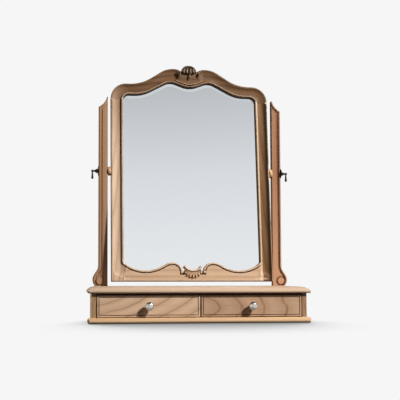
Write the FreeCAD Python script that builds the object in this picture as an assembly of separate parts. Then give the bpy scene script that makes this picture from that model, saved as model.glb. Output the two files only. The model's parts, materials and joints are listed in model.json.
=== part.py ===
import FreeCAD, Part
import math
import os

# Dressing table mirror: a shaped, moulded wooden frame with a bevelled mirror plate swings between
# two posts that stand on a low base with two drawers. Millimetres, +Z up, front towards -Y.
# The origin is the centre of the underside of the base.

V = FreeCAD.Vector

# Clearances and cutting allowance
fit_gap = 0.05
slide_gap = 0.3
overrun = 5.0

# Mirror frame: outer outline, measured from the pivot axis at half height
frame_width = 540.0
frame_thick = 24.0
frame_below = 369.0
shoulder_rise = 303.3
crest_above_shoulder = 57.3
crest_notch = 17.5
outer_corner_radius = 53.0
frame_lean_degrees = 4.7
shoulder_flat_share = 0.952
crest_share = 0.198
outer_bend_share = 0.947
outer_split_share = 0.618
notch_bend_share = 0.9
notch_split_share = 0.55

# Mirror frame: sight edge, the edge of the wood against the glass
stile_width = 41.0
shoulder_rail = 36.8
crest_rail = 48.3
sight_dip = 16.5
sight_corner_radius = 21.0
sill_corner_height = 62.0
sill_valley_height = 35.0
sill_hill_height = 62.0
sill_corner_radius = 6.0
scroll_radius = 32.0
sight_flat_share = 0.914
sight_crest_share = 0.282
sight_bend_share = 0.817
sight_split_share = 0.71
dip_bend_share = 0.844
dip_split_share = 0.391
valley_share = 0.6855
hill_share = 0.2925
sill_bend_share = 0.95
sill_split_share = 0.697

# Mirror frame: moulding on the face, rebate at the back and the joints of the four members
outer_round = 3.0
rim_width = 5.5
scoop_radius = 38.0
scoop_depth = 6.0
scoop_stop_height = 37.0
bead_radius = 3.5
bead_overhang = 0.3
quirk_width = 2.6
scroll_eye_radius = 6.0
lip_depth = 8.5
rebate = 6.0
sill_rebate = 13.0
stile_top_below_shoulder = 56.5
dowel_radius = 3.0
dowel_length = 44.0
top_dowel_shares = (0.28, 0.72)
sill_dowel_shares = (0.27, 0.73)

# Bevelled mirror plate and the backing board with its clips
glass_thick = 5.0
glass_gap = 0.5
bevel_width = 18.0
bevel_depth = 1.3
clip_length = 30.0
clip_width = 12.0
clip_thick = 1.2
clip_screw_radius = 1.5
clip_screw_length = 9.0
clip_head_radius = 3.0
clip_head_height = 1.4
clip_row_shares = (-0.72, -0.2, 0.35)
clip_column_shares = (-0.62, 0.62)

# Shell carvings on the crest and on the sill
crest_shell_radius = 31.0
crest_root_drop = 19.5
crest_lobe_count = 7
crest_lobe_spread_degrees = 23.0
crest_lobe_tip = 5.6
crest_lobe_root = 2.2
crest_stem_length = 21.0
crest_stem_tip = 2.4
volute_radius = 8.0
volute_reach = 35.0
volute_drop = 12.0
crest_back_depth = 12.0
crest_back_radius = 24.0
sill_cup_drop = 28.0
sill_cup_radius = 36.5
sill_shell_radius = 61.5
sill_lobe_count = 7
sill_lobe_spread_degrees = 10.5
sill_lobe_tip = 5.4
sill_lobe_root = 3.3
sill_lobe_fall_share = 0.13
sill_rim_radius = 3.2
sill_rim_half_angle_degrees = 50.0
sill_horn_radius = 4.0
carving_set_back = 1.5

# Posts with a quirked bead, a coved top and a scrolled foot
post_width = 30.3
post_thick = 18.4
post_above_pivot = 249.5
post_back_margin = 12.6
post_peak_width = 2.5
post_cove_drop = 34.0
post_cove_share = 0.11
foot_height = 70.0
foot_bulge_height = 21.0
foot_spread = 19.0
foot_bend_share = 0.93
foot_split_share = 0.55
foot_groove_degrees = 50.0
post_groove_inset = 9.0
post_groove_radius = 4.0
post_groove_lift = 1.6
post_arris_round = 4.0
eye_radius = 12.0
eye_inset = 26.0
eye_height = 17.0
eye_proud = 3.0
eye_round = 2.0
post_screw_radius = 2.5
post_screw_length = 70.0
post_screw_head = 5.0
post_screw_shares = (0.32, 0.9)

# Swivel hardware at each end of the pivot axis
spacer_radius = 15.0
spacer_length = 10.2
spacer_waist = 2.0
pivot_plate_length = 52.0
pivot_plate_width = 15.0
pivot_plate_thick = 3.0
pivot_boss_radius = 5.0
pivot_boss_length = 9.0
plate_screw_radius = 1.7
plate_screw_length = 16.0
plate_screw_head = 3.4
plate_screw_share = 0.36
spindle_radius = 3.0
bush_wall = 1.5
rosette_radius = 17.0
rosette_thick = 2.6
rosette_rim = 1.0
rosette_dome_share = 0.67
collar_radius = 7.5
collar_thick = 2.5
cone_length = 9.0
knuckle_neck_radius = 3.0
knuckle_radius = 4.6
drop_reach = 20.5
drop_length = 27.0
drop_neck_radius = 1.7
drop_bulb_radius = 3.9
drop_tongue_thick = 3.0
drop_tongue_radius = 3.4
drop_pin_radius = 1.1
drop_pin_share = 0.75

# Base: moulded top, bullnosed floor board, ends, back, divider and drawer strips
base_depth = 198.0
base_end_margin = 39.5
top_thick = 20.0
top_nose = 5.0
top_moulding_run = 30.0
floor_thick = 18.0
floor_nose_run = 9.0
floor_nose_share = 0.55
floor_return = 27.0
plan_corner_radius = 9.0
drawer_opening_height = 75.0
end_overhang = 13.0
front_overhang = 12.0
back_overhang = 3.0
end_thick = 14.0
divider_thick = 10.0
back_thick = 6.0
top_strip_thick = 4.5
top_strip_set_back = 5.0
kicker_width = 14.0
stop_length = 20.0
stop_height = 12.0
base_screw_radius = 2.0
base_screw_length = 45.0
base_screw_head = 4.0
base_screw_shares = (-0.6, 0.6)
frame_gap = 14.0
quarter_round_share = 0.5523

# Drawers
drawer_end_gap = 2.5
drawer_middle_gap = 4.0
drawer_floor_gap = 2.0
drawer_front_height = 66.7
drawer_front_thick = 16.0
drawer_bead_width = 5.0
drawer_groove_width = 2.2
drawer_groove_depth = 2.2
drawer_edge_round = 1.4
drawer_side_thick = 9.0
drawer_side_height = 56.0
drawer_back_gap = 12.0
drawer_back_drop = 6.0
drawer_bottom_thick = 5.0
drawer_bottom_rise = 9.0
drawer_groove_let_in = 4.0
divider_gap = 1.5

# Knobs
knob_radius = 13.8
knob_length = 27.0
knob_foot_radius = 8.5
knob_foot_thick = 2.5
knob_neck_radius = 5.0
knob_neck_length = 6.0
knob_belly_share = 0.5
knob_screw_radius = 2.0
knob_screw_head = 4.5
knob_screw_head_thick = 2.4
knob_screw_bite = 12.0

# Places worked out from the driving sizes
half_frame = frame_width / 2
half_sight = half_frame - stile_width
frame_front = -frame_thick / 2
frame_back = frame_thick / 2
crest_rise = shoulder_rise + crest_above_shoulder
sight_shoulder = shoulder_rise - shoulder_rail
sight_crest = crest_rise - crest_rail
sill_valley = sill_valley_height - frame_below
sill_hill = sill_hill_height - frame_below
sill_corner = sill_corner_height - frame_below
sill_centre = sill_hill - scroll_radius
stile_top = shoulder_rise - stile_top_below_shoulder
scoop_inset = rim_width + math.sqrt(scoop_radius**2 - (scoop_radius - scoop_depth)**2)
base_height = floor_thick + drawer_opening_height + top_thick
pivot_height = base_height + frame_gap + frame_below
post_height = pivot_height + post_above_pivot - base_height
post_inner = half_frame + spacer_length + slide_gap
post_outer = post_inner + post_width
base_half = post_outer + base_end_margin
base_front = -base_depth / 2
base_back = base_depth / 2
pivot_y = base_back - post_back_margin - post_thick / 2
end_outer = base_half - end_overhang
end_inner = end_outer - end_thick
carcass_front = base_front + front_overhang
carcass_back = base_back - back_overhang
back_inner = carcass_back - back_thick
opening_top = floor_thick + drawer_opening_height
fronts_back = carcass_front + drawer_front_thick
drawer_box_back = back_inner - drawer_back_gap


# Plane paths in (x, z)

def at(point, y):
    """Point (x, z) of a plane path, set at depth y."""
    return V(point[0], y, point[1])


def line(start, end, y):
    return Part.LineSegment(at(start, y), at(end, y)).toShape()


def arc(start, middle, end, y):
    return Part.Arc(at(start, y), at(middle, y), at(end, y)).toShape()


def on_circle(centre, radius, degrees):
    angle = math.radians(degrees)
    return (centre[0] + radius * math.cos(angle), centre[1] + radius * math.sin(angle))


def turn(centre, radius, start_degrees, end_degrees, y):
    """Arc about a centre, from one direction to another."""
    middle_degrees = (start_degrees + end_degrees) / 2
    ends = [on_circle(centre, radius, d) for d in (start_degrees, middle_degrees, end_degrees)]
    return arc(ends[0], ends[1], ends[2], y)


def ogee_radii(run, rise, bend_share, split_share):
    """Radii of a double curve: a share of the largest pair that fits, split between its two bends."""
    both = bend_share * (run**2 + rise**2) / (2 * rise)
    return both * split_share, both * (1 - split_share)


def ogee(start, end, radii):
    """Points of a double curve, level at both ends: bend, straight stretch, bend."""
    across = math.copysign(1, end[0] - start[0])
    up = math.copysign(1, end[1] - start[1])
    run = abs(end[0] - start[0])
    rise = abs(end[1] - start[1])
    both = radii[0] + radii[1]
    straight = math.sqrt(run**2 + (rise - both)**2 - both**2)
    slope = math.atan2(rise - both, run) + math.atan2(both, straight)

    def bend(point, radius, angle, sense):
        step = radius * math.sin(angle) * sense
        lift = radius * (1 - math.cos(angle)) * sense
        return (point[0] + across * step, point[1] + up * lift)

    return [start, bend(start, radii[0], slope / 2, 1), bend(start, radii[0], slope, 1),
            bend(end, radii[1], slope, -1), bend(end, radii[1], slope / 2, -1), end]


def ogee_edges(points, y):
    return [arc(points[0], points[1], points[2], y), line(points[2], points[3], y),
            arc(points[3], points[4], points[5], y)]


def mirrored(shape):
    return shape.mirror(V(0, 0, 0), V(1, 0, 0))


def both_sides(edges):
    """Closed wire from the edges of its right half."""
    left = [mirrored(edge) for edge in edges]
    return Part.Wire(Part.__sortEdges__(edges + left))


def prism(wire, depth):
    return Part.Face(wire).extrude(V(0, depth, 0))


def sweep(edges, profile):
    """Solid left by a closed profile carried along a smooth path."""
    path = Part.Wire(Part.__sortEdges__(edges))
    return path.makePipeShell([profile], True, False)


def ring(centre, direction, radius):
    return Part.Wire([Part.Circle(centre, direction, radius).toShape()])


def block(low, high):
    """Box between two corners."""
    size = high - low
    return Part.makeBox(size.x, size.y, size.z, low)


def turned(profile_points, axis_start, axis):
    """Solid of revolution from (along, radius) points joined by straight lines."""
    side = V(0, 0, 1) if abs(axis.z) < abs(axis.x) + abs(axis.y) else V(1, 0, 0)
    points = [axis_start + axis * along + side * radius for along, radius in profile_points]
    outline = Part.makePolygon(points + [points[0]])
    return Part.Face(outline).revolve(axis_start, axis, 360)


def countersunk_screw(tip, axis, length, radius, head_radius, gap):
    """Wood screw: its head is flush at tip + axis * length and narrows to the shank."""
    head = head_radius - radius
    return turned([(-gap, 0), (-gap, radius + gap), (length - head, radius + gap),
                   (length, head_radius + gap), (length, 0)], tip, axis)


def fused(shapes):
    solid = shapes[0].multiFuse(shapes[1:])
    return solid.removeSplitter()


# Frame outlines: each is drawn parallel to the real edge by an inset into the wood

def outer_edges(inset, stop_height, y, to_centre):
    """Right half of the outer outline: side, round corner, shoulder, double curve, crest."""
    corner = (half_frame - outer_corner_radius, shoulder_rise - outer_corner_radius)
    shoulder_end = (corner[0] * shoulder_flat_share, shoulder_rise - inset)
    crest = (half_frame * crest_share, crest_rise - inset)
    rise = crest_rise - shoulder_rise
    up = ogee_radii(shoulder_end[0] - crest[0], rise, outer_bend_share, outer_split_share)
    radius = outer_corner_radius - inset
    edges = [line((half_frame - inset, stop_height - frame_below), (half_frame - inset, corner[1]), y),
             turn(corner, radius, 0, 90, y), line((corner[0], shoulder_end[1]), shoulder_end, y)]
    edges += ogee_edges(ogee(shoulder_end, crest, (up[0] + inset, up[1] - inset)), y)
    if to_centre:
        notch = (0, crest[1] - crest_notch)
        down = ogee_radii(crest[0], crest_notch, notch_bend_share, notch_split_share)
        edges += ogee_edges(ogee(crest, notch, (down[0] - inset, down[1] + inset)), y)
    return edges


def sight_top_edges(outset, y, side_end):
    """Right half of the sight edge from the dip at the centre over the crest and down the stile."""
    corner = (half_sight - sight_corner_radius, sight_shoulder - sight_corner_radius)
    dip = (0, sight_crest - sight_dip + outset)
    crest = (half_sight * sight_crest_share, sight_crest + outset)
    shoulder_end = (corner[0] * sight_flat_share, sight_shoulder + outset)
    rise = sight_crest - sight_shoulder
    up = ogee_radii(crest[0], sight_dip, dip_bend_share, 1 - dip_split_share)
    down = ogee_radii(shoulder_end[0] - crest[0], rise, sight_bend_share, 1 - sight_split_share)
    edges = ogee_edges(ogee(dip, crest, (up[0] - outset, up[1] + outset)), y)
    edges += ogee_edges(ogee(crest, shoulder_end, (down[0] + outset, down[1] - outset)), y)
    edges += [line(shoulder_end, (corner[0], shoulder_end[1]), y),
              turn(corner, sight_corner_radius + outset, 90, 0, y),
              line((half_sight + outset, corner[1]), (half_sight + outset, side_end), y)]
    return edges


def sill_corner_arc():
    """Valley circle of the sill, and the rounded corner where it meets the stile."""
    valley_x = half_sight * valley_share
    run = half_sight - valley_x
    rise = sill_corner - sill_valley
    radius = (run**2 + rise**2) / (2 * rise)
    centre = (valley_x, sill_valley + radius)
    inner = radius - sill_corner_radius
    across = run - sill_corner_radius
    corner = (half_sight - sill_corner_radius, centre[1] - math.sqrt(inner**2 - across**2))
    slope = math.degrees(math.atan2(corner[1] - centre[1], corner[0] - centre[0]))
    return centre, radius, corner, slope


def sill_edges(outset, y):
    """Right half of the sill: corner, valley, double curve to the hill and the scroll end."""
    centre, radius, corner, slope = sill_corner_arc()
    valley = (centre[0], sill_valley - outset)
    hill = (half_sight * hill_share, sill_hill - outset)
    up = ogee_radii(valley[0] - hill[0], sill_hill - sill_valley, sill_bend_share, sill_split_share)
    scroll = (hill[0], sill_hill - scroll_radius)
    edges = [turn(corner, sill_corner_radius + outset, 0, slope, y),
             turn(centre, radius + outset, slope, -90, y)]
    edges += ogee_edges(ogee(valley, hill, (up[0] + outset, up[1] - outset)), y)
    edges += [turn(scroll, scroll_radius - outset, 90, 180, y)]
    return edges


def sight_path(outset, y):
    """Right half of the whole sight edge, down to the scroll end beside the sill shell."""
    corner = sill_corner_arc()[2]
    return sight_top_edges(outset, y, corner[1]) + sill_edges(outset, y)


def sight_wire(outset, y):
    """Closed outline of the sight opening, level between the two scroll ends."""
    scroll_x = half_sight * hill_share - scroll_radius + outset
    floor = sill_centre - outset
    edges = sight_path(outset, y)
    edges += [line((scroll_x, sill_centre), (scroll_x, floor), y)] if outset else []
    return both_sides(edges + [line((scroll_x, floor), (0, floor), y)])


def plate_wire(outset, y):
    """Outline of the glass: it follows the sight edge at the top and is straight at the foot."""
    floor = sill_centre - sill_rebate + rebate - outset
    edges = sight_top_edges(outset, y, floor)
    return both_sides(edges + [line((half_sight + outset, floor), (0, floor), y)])


# Mirror frame

def plain_board():
    """Full outline of the frame in its whole thickness, before any moulding."""
    bottom = line((half_frame, -frame_below), (0, -frame_below), frame_front)
    return prism(both_sides(outer_edges(0, 0, frame_front, True) + [bottom]), frame_thick)


def whole_frame():
    """The four members before they are cut apart at their joints."""
    board = plain_board()
    front_edges = [e for e in board.Edges if abs(e.BoundBox.YMax - frame_front) < fit_gap]
    board = board.makeFillet(outer_round, front_edges)
    board = board.cut(prism(sight_wire(0, frame_front - overrun), frame_thick + 2 * overrun))

    path = outer_edges(scoop_inset, scoop_stop_height, frame_front, False)
    start = path[0].Vertexes[0].Point
    end = path[-1].Vertexes[-1].Point
    to_rim = V(scoop_inset - rim_width, 0, 0)
    over = V(0, -overrun, 0)
    hollow = Part.Arc(start + to_rim, start + V(0, scoop_depth, 0), start - to_rim).toShape()
    lid = Part.makePolygon([start - to_rim, start - to_rim + over, start + to_rim + over, start + to_rim])
    scoop = sweep(path, Part.Wire([hollow] + lid.Edges))
    middle = V(0, scoop_depth - scoop_radius, 0)
    for cutter in (scoop, Part.makeSphere(scoop_radius, start + middle), Part.makeSphere(scoop_radius, end + middle)):
        board = board.cut(cutter).cut(mirrored(cutter))

    step = 2 * bead_radius + quirk_width - bead_overhang
    step_depth = bead_radius
    board = board.cut(prism(sight_wire(step, frame_front - overrun), overrun + step_depth))
    bead_y = frame_front + bead_radius
    right = sight_path(bead_radius - bead_overhang, bead_y)
    start = right[0].Vertexes[0].Point
    end = right[-1].Vertexes[-1].Point
    bead = sweep(right, ring(start, V(1, 0, 0), bead_radius))
    eye = Part.makeSphere(scroll_eye_radius, end)
    plate_space = prism(plate_wire(rebate, frame_front + lip_depth), frame_thick)
    return fused([board, bead, mirrored(bead), eye, mirrored(eye)]).cut(plate_space)


def frame_members(frame):
    """Top rail, stiles and bottom rail, cut at the plain joint faces of the frame."""
    wide = half_frame + overrun
    deep = frame_thick
    foot = -frame_below - overrun
    clear = half_sight - overrun
    corner_top = sill_corner_arc()[2][1]
    top = block(V(-wide, -deep, stile_top), V(wide, deep, crest_rise + overrun))
    below_corner = block(V(-half_sight, -deep, foot), V(half_sight, deep, corner_top))
    sill = below_corner.fuse(block(V(-clear, -deep, foot), V(clear, deep, stile_top)))
    right = block(V(clear, -deep, foot), V(wide, deep, stile_top)).cut(sill)
    members = {"top_rail": top, "stile_right": right, "stile_left": mirrored(right), "bottom_rail": sill}
    return {name: frame.common(region) for name, region in members.items()}


def frame_dowels(gap):
    """Two dowels across each joint: in the stile behind the scoop, in the sill below the rebate."""
    radius = dowel_radius + gap
    length = dowel_length + 2 * gap
    behind_scoop = (frame_front + scoop_depth + frame_back) / 2
    below_rebate = (sill_centre - sill_rebate - frame_below) / 2
    dowels = []
    for share in top_dowel_shares:
        x = half_sight + rebate + (stile_width - rebate) * share
        foot = V(x, behind_scoop, stile_top - length / 2)
        dowels.append(Part.makeCylinder(radius, length, foot, V(0, 0, 1)))
    for share in sill_dowel_shares:
        foot = V(half_sight - length / 2, frame_front + frame_thick * share, below_rebate)
        dowels.append(Part.makeCylinder(radius, length, foot, V(1, 0, 0)))
    return dowels + [mirrored(dowel) for dowel in dowels]


# Glass, backing and clips

def mirror_glass():
    """Silvered plate with a wide shallow bevel round its front edge."""
    front = frame_front + lip_depth
    edge = rebate - glass_gap
    body = prism(plate_wire(edge, front + bevel_depth), glass_thick - bevel_depth)
    rims = [plate_wire(edge, front + bevel_depth), plate_wire(edge - bevel_width, front)]
    return fused([body, Part.makeLoft(rims, True, True)])


def backing_board():
    back_of_glass = frame_front + lip_depth + glass_thick
    return prism(plate_wire(rebate - glass_gap, back_of_glass), frame_back - back_of_glass)


def clip_places():
    """Middle of each clip on the rebate edge, and whether the clip lies across or upright."""
    places = []
    for share in clip_row_shares:
        z = frame_below * share
        places += [(V(side * (half_sight + rebate), frame_back, z), True) for side in (-1, 1)]
    floor = sill_centre - sill_rebate
    for share in clip_column_shares:
        places.append((V(half_sight * share, frame_back, floor), False))
    return places


def backing_clips():
    """Flat plates that lap over the board, each with its screw in the frame."""
    clips = []
    screws = []
    holes = []
    for place, across in clip_places():
        outward = V(math.copysign(1, place.x), 0, 0) if across else V(0, 0, -1)
        half = V(clip_length, 0, clip_width) / 2 if across else V(clip_width, 0, clip_length) / 2
        plate = block(place - half, place + half + V(0, clip_thick, 0))
        seat = place + outward * (clip_length / 4)
        tip = seat - V(0, clip_screw_length - clip_thick, 0)
        screw = turned([(0, 0), (0, clip_screw_radius), (clip_screw_length, clip_screw_radius),
                        (clip_screw_length, clip_head_radius),
                        (clip_screw_length + clip_head_height, clip_head_radius / 2),
                        (clip_screw_length + clip_head_height, 0)], tip, V(0, 1, 0))
        hole = Part.makeCylinder(clip_screw_radius + fit_gap, clip_screw_length + overrun,
                                 tip - V(0, fit_gap, 0), V(0, 1, 0))
        clips.append(plate.cut(hole))
        screws.append(screw)
        holes.append(hole)
    return clips, screws, holes


# Shell carvings

def lobe(root, tip, root_radius, tip_radius):
    """One rib of a shell: a cone that swells to a round end, turned about its own axis."""
    axis = tip - root
    along = axis / axis.Length
    back = V(0, 1, 0)
    foot = root + back * root_radius
    shoulder = tip + back * tip_radius
    bend = tip + (along + back) * (tip_radius * math.sqrt(0.5))
    end = tip + along * tip_radius
    outline = Part.Wire([Part.LineSegment(root, foot).toShape(), Part.LineSegment(foot, shoulder).toShape(),
                         Part.Arc(shoulder, bend, end).toShape(), Part.LineSegment(end, root).toShape()])
    return Part.Face(outline).revolve(root, along, 360)


def fan(root, start, radius, count, spread_degrees, root_radius, tip_radius, up, fall_share):
    """Ribs spread evenly about a root point; they shorten by a share towards the two sides."""
    pieces = []
    middle = (count - 1) / 2
    for index in range(count):
        off_centre = (index - middle) / middle
        angle = math.radians(off_centre * middle * spread_degrees)
        outward = V(math.sin(angle), 0, math.cos(angle) * up)
        reach = radius * (1 - fall_share * off_centre**2)
        pieces.append(lobe(root + outward * start, root + outward * reach, root_radius, tip_radius))
    return pieces


def crest_shell():
    """Palmette between two rolled volutes, with a drop on the rail below it."""
    root = V(0, frame_front - carving_set_back, crest_rise - crest_root_drop)
    length = crest_shell_radius - crest_lobe_tip
    pieces = fan(root, crest_lobe_root, length, crest_lobe_count, crest_lobe_spread_degrees,
                 crest_lobe_root, crest_lobe_tip, 1, 0)
    on_face = V(0, frame_front, root.z)
    back = Part.makeCylinder(crest_back_radius, crest_back_depth, on_face, V(0, 1, 0))
    wide = crest_back_radius + overrun
    keep = block(V(-wide, frame_front - overrun, root.z), V(wide, frame_back, root.z + wide))
    pieces.append(back.common(keep))
    stem_foot = root - V(0, 0, crest_stem_length)
    pieces.append(lobe(root, stem_foot, crest_lobe_root, crest_stem_tip))
    roll = V(volute_reach, frame_front - crest_lobe_tip / 2, crest_rise - volute_drop)
    for side in (-1, 1):
        place = V(side * roll.x, roll.y, roll.z)
        pieces.append(Part.makeCylinder(volute_radius, crest_back_depth, place, V(0, 1, 0)))
        pieces.append(Part.makeSphere(volute_radius / 2, place))
        pieces.append(lobe(V(root.x, roll.y, root.z), place, crest_lobe_root, crest_lobe_tip / 2))
    return fused(pieces).cut(plain_board())


def sill_shell(bottom_rail):
    """Cupped shell: ribs hang from a hollow rim whose two ends curl up over the glass."""
    root = V(0, frame_front - carving_set_back, sill_hill - sill_cup_drop + sill_cup_radius)
    length = sill_shell_radius - sill_lobe_tip
    pieces = fan(root, sill_cup_radius, length, sill_lobe_count, sill_lobe_spread_degrees,
                 sill_lobe_root, sill_lobe_tip, -1, sill_lobe_fall_share)
    swing = sill_rim_half_angle_degrees
    rim = turn((root.x, root.z), sill_cup_radius, -90 - swing, -90 + swing, root.y - carving_set_back)
    start = rim.Vertexes[0].Point
    pieces.append(sweep([rim], ring(start, rim.tangentAt(rim.FirstParameter), sill_rim_radius)))
    pieces += [Part.makeSphere(sill_horn_radius, v.Point) for v in rim.Vertexes]
    return fused(pieces).cut(bottom_rail)


# Posts

def post_cove():
    """Coved top of the post: peak, shoulder, and the centre and radius of the hollow between."""
    peak = (post_inner + post_peak_width, base_height + post_height)
    shoulder = (post_outer, peak[1] - post_cove_drop)
    run = shoulder[0] - peak[0]
    chord = math.hypot(run, post_cove_drop)
    sagitta = chord * post_cove_share
    radius = (chord**2 / 4 + sagitta**2) / (2 * sagitta)
    reach = radius - sagitta
    middle = ((peak[0] + shoulder[0]) / 2, (peak[1] + shoulder[1]) / 2)
    centre = (middle[0] + reach * post_cove_drop / chord, middle[1] + reach * run / chord)
    return peak, shoulder, centre, radius


def foot_curve(inset):
    """Double curve of the foot, found with height and width swapped, and its lower bend."""
    start = (base_height + foot_height, post_outer - inset)
    bulge = (base_height + foot_bulge_height, post_outer + foot_spread - inset)
    radii = ogee_radii(foot_height - foot_bulge_height, foot_spread, foot_bend_share, foot_split_share)
    points = ogee(start, bulge, (radii[0] + inset, radii[1] - inset))
    centre = (bulge[1] - radii[1] + inset, bulge[0])
    return [(x, z) for z, x in points], centre, radii[1] - inset


def post_edges(y):
    """Outline of the right post, from its peak round the foot and back."""
    peak, shoulder, centre, radius = post_cove()
    chord_angle = math.degrees(math.atan2((peak[1] + shoulder[1]) / 2 - centre[1],
                                          (peak[0] + shoulder[0]) / 2 - centre[0]))
    hollow = arc(peak, on_circle(centre, radius, chord_angle), shoulder, y)
    foot, foot_centre, foot_radius = foot_curve(0)
    dip = math.degrees(math.asin(foot_bulge_height / foot_radius))
    heel = on_circle(foot_centre, foot_radius, -dip)
    edges = [hollow, line(shoulder, foot[0], y)] + ogee_edges(foot, y)
    edges += [turn(foot_centre, foot_radius, 0, -dip, y), line(heel, (post_inner, base_height), y),
              line((post_inner, base_height), (post_inner, peak[1]), y),
              line((post_inner, peak[1]), peak, y)]
    return edges


def post_grooves(y):
    """Quirk that sets off the bead: along the cove, and down the outer edge round the foot."""
    peak, shoulder, centre, radius = post_cove()
    inset = post_groove_inset
    meet_x = post_outer - inset
    drop = math.sqrt((radius + inset)**2 - (meet_x - centre[0])**2)
    meet = (meet_x, centre[1] - drop)
    start_degrees = math.degrees(math.atan2(meet[1] - centre[1], meet[0] - centre[0]))
    end_x = post_inner - overrun
    rise = math.sqrt((radius + inset)**2 - (end_x - centre[0])**2)
    end_degrees = math.degrees(math.atan2(-rise, end_x - centre[0]))
    top = turn(centre, radius + inset, start_degrees, end_degrees, y)
    foot, foot_centre, foot_radius = foot_curve(inset)
    outer = [line(meet, foot[0], y)] + ogee_edges(foot, y)
    outer.append(turn(foot_centre, foot_radius, 0, -foot_groove_degrees, y))
    top_profile = ring(at(meet, y), top.tangentAt(top.FirstParameter), post_groove_radius)
    outer_profile = ring(at(meet, y), V(0, 0, 1), post_groove_radius)
    ends = [Part.makeSphere(post_groove_radius, at(meet, y)),
            Part.makeSphere(post_groove_radius, outer[-1].Vertexes[-1].Point)]
    return [sweep([top], top_profile), sweep(outer, outer_profile)] + ends


def post_screw_places():
    return [V(post_inner + post_width * share, pivot_y, 0) for share in post_screw_shares]


def post_screws(gap):
    """Screws driven up through the top board into the foot of each post."""
    screws = []
    for place in post_screw_places():
        tip = place + V(0, 0, opening_top + post_screw_length)
        screws.append(countersunk_screw(tip, V(0, 0, -1), post_screw_length, post_screw_radius,
                                        post_screw_head, gap))
    return screws + [mirrored(screw) for screw in screws]


def post_right():
    front = pivot_y - post_thick / 2
    outline = Part.Wire(Part.__sortEdges__(post_edges(front)))
    post = prism(outline, post_thick)
    rounded = []
    for edge in post.Edges:
        box = edge.BoundBox
        on_front = abs(box.YMin - front) < fit_gap and abs(box.YMax - front) < fit_gap
        outside = box.XMax > post_outer - fit_gap and box.ZMax > base_height + fit_gap
        if on_front and outside:
            rounded.append(edge)
    post = post.makeFillet(post_arris_round, rounded)
    for groove in post_grooves(front - post_groove_lift):
        post = post.cut(groove)
    eye_place = V(post_inner + eye_inset, front - eye_proud, base_height + eye_height)
    eye = Part.makeCylinder(eye_radius, eye_proud + post_thick / 2, eye_place, V(0, 1, 0))
    rim = [e for e in eye.Edges if abs(e.BoundBox.YMax - eye_place.y) < fit_gap]
    post = fused([post, eye.makeFillet(eye_round, rim)])
    bore = Part.makeCylinder(spindle_radius + bush_wall + fit_gap, post_width + 2 * overrun,
                             V(post_inner - overrun, pivot_y, pivot_height), V(1, 0, 0))
    post = post.cut(bore)
    for screw in post_screws(fit_gap):
        post = post.cut(screw)
    return post


# Swivel hardware on the right side; x runs outward along the pivot axis

def pivot_turned(start_x, profile):
    return turned([(x, radius) for x, radius in profile], V(start_x, pivot_y, pivot_height), V(1, 0, 0))


def bored(shape, radius):
    """Shape with the spindle's hole along the pivot axis."""
    hole = Part.makeCylinder(radius, 2 * base_half, V(0, pivot_y, pivot_height), V(1, 0, 0))
    return shape.cut(hole)


def spacer():
    """Turned wooden bun that keeps the frame off the post, drawn in at both ends."""
    shoulder = spacer_length / 4
    bun = pivot_turned(half_frame, [(0, 0), (0, spacer_radius - spacer_waist), (shoulder, spacer_radius),
                                    (spacer_length - shoulder, spacer_radius),
                                    (spacer_length, spacer_radius - spacer_waist), (spacer_length, 0)])
    return bored(bun, spindle_radius + fit_gap)


def pivot_plate(gap):
    """Let-in plate with a tapped boss, which the spindle screws into."""
    half = V(0, pivot_plate_width / 2 + gap, pivot_plate_length / 2 + gap)
    face = V(half_frame, pivot_y, pivot_height)
    inner = face - V(pivot_plate_thick + gap, 0, 0)
    plate = block(inner - half, face + half)
    boss_start = V(half_frame - pivot_plate_thick - pivot_boss_length - gap, pivot_y, pivot_height)
    boss = Part.makeCylinder(pivot_boss_radius + gap, pivot_boss_length, boss_start, V(1, 0, 0))
    return fused([plate, boss])


def plate_screws(gap):
    screws = []
    for side in (-1, 1):
        z = pivot_height + side * pivot_plate_length * plate_screw_share
        tip = V(half_frame - plate_screw_length, pivot_y, z)
        screws.append(countersunk_screw(tip, V(1, 0, 0), plate_screw_length, plate_screw_radius,
                                        plate_screw_head, gap))
    return screws


def post_bush():
    bush = Part.makeCylinder(spindle_radius + bush_wall, post_width,
                             V(post_inner, pivot_y, pivot_height), V(1, 0, 0))
    return bored(bush, spindle_radius + fit_gap)


def rosette():
    """Domed plate on the outer face of the post."""
    disc = pivot_turned(post_outer, [(0, 0), (0, rosette_radius), (rosette_rim, rosette_radius),
                                     (rosette_thick, rosette_radius * rosette_dome_share), (rosette_thick, 0)])
    return bored(disc, spindle_radius + fit_gap)


def drop_hinge():
    return V(post_outer + drop_reach, pivot_y, pivot_height)


def mirror_screw():
    """Spindle with collar, cone and slotted knuckle."""
    inner = half_frame - pivot_plate_thick - pivot_boss_length
    collar = post_outer + rosette_thick + slide_gap
    hinge = drop_hinge()
    cone = collar + collar_thick
    points = [(inner, 0), (inner, spindle_radius), (collar, spindle_radius), (collar, collar_radius),
              (cone, collar_radius), (cone + cone_length, knuckle_neck_radius),
              (hinge.x, knuckle_neck_radius), (hinge.x, 0)]
    body = pivot_turned(0, points)
    screw = fused([body, Part.makeSphere(knuckle_radius, hinge)])
    slot = block(hinge - V(drop_tongue_radius + slide_gap, drop_tongue_thick / 2 + slide_gap, knuckle_radius),
                 hinge + V(knuckle_radius, drop_tongue_thick / 2 + slide_gap, knuckle_radius))
    return screw.cut(slot).cut(drop_pin(fit_gap))


def drop_pin(gap):
    half = knuckle_radius * drop_pin_share
    start = drop_hinge() - V(0, half + gap, 0)
    return Part.makeCylinder(drop_pin_radius + gap, 2 * (half + gap), start, V(0, 1, 0))


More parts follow.
